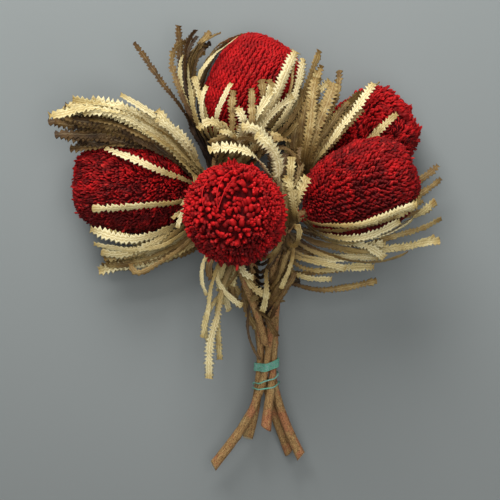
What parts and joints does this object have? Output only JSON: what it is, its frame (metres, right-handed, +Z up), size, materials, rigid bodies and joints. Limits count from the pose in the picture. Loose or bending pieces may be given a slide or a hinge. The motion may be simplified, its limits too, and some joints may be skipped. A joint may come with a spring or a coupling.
{
  "type": "banksia cone bunch",
  "caption": "Lying bunch of dried banksia flower heads on leafy stems, the stems crossed and held by a wound twine tie.",
  "frame": {"origin": "middle of the underside's bounding box, on the surface that the bunch lies on", "axes": "+Y from the cut stems towards the heads, +X to the right of the picture, +Z up from the surface, towards the picture's viewer"},
  "size_m": [0.3607, 0.4126, 0.1932],
  "materials": {
    "bloom": "dyed dry florets, matte",
    "leaf": "dry leaf, matte",
    "bark": "rough bark",
    "tie": "wound twine"
  },
  "bodies": {
    "root": {"head_left": "bloom", "head_top": "bloom", "head_front": "bloom", "head_right_front": "bloom", "head_right_back": "bloom", "leafy_stem_left": "leaf", "leafy_stem_top": "leaf", "leafy_stem_front": "leaf", "leafy_stem_right_front": "leaf", "leafy_stem_right_back": "leaf", "tie": "tie"}
  },
  "joints": []
}
